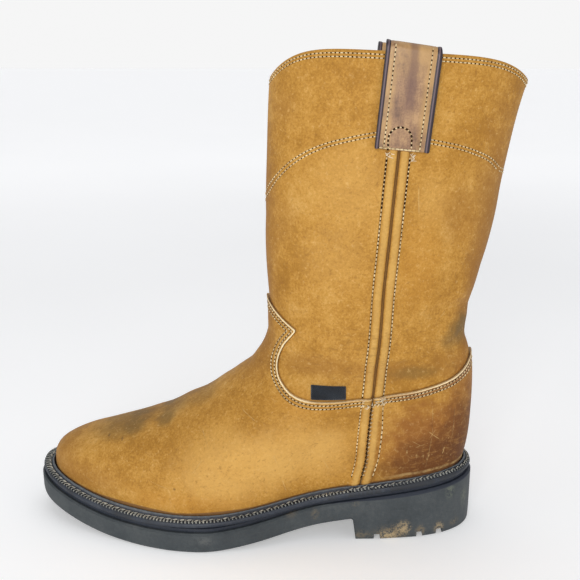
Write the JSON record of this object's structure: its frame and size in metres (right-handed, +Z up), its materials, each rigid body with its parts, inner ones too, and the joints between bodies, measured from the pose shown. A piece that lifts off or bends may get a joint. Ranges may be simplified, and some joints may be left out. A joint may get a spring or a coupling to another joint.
{
  "type": "western work boot",
  "caption": "Pull-on western work boot for the left foot, round toe, plain tan leather, storm welt and grey rubber unit sole with a low heel.",
  "frame": {"origin": "centre of the heel's flat floor face", "axes": "+Z up, -X towards the toe, +X towards the heel's back, -Y the outer side of the foot, +Y the inner side"},
  "size_m": [0.3305, 0.1191, 0.3267],
  "materials": {
    "grey_rubber": "matte moulded rubber",
    "dark_rubber": "matte dark rubber",
    "welt_rubber": "satin dressed welt",
    "tan_leather": "oiled nubuck",
    "strap_leather": "smooth waxed leather",
    "footbed": "plain leather board",
    "black_cloth": "woven tape"
  },
  "bodies": {
    "root": {"outsole": "grey_rubber", "midsole": "dark_rubber", "welt": "welt_rubber", "insole": "footbed", "upper": "tan_leather", "vamp": "tan_leather", "counter": "tan_leather", "pull_strap_outer": "strap_leather", "pull_strap_inner": "strap_leather", "side_label": "black_cloth"}
  },
  "joints": []
}
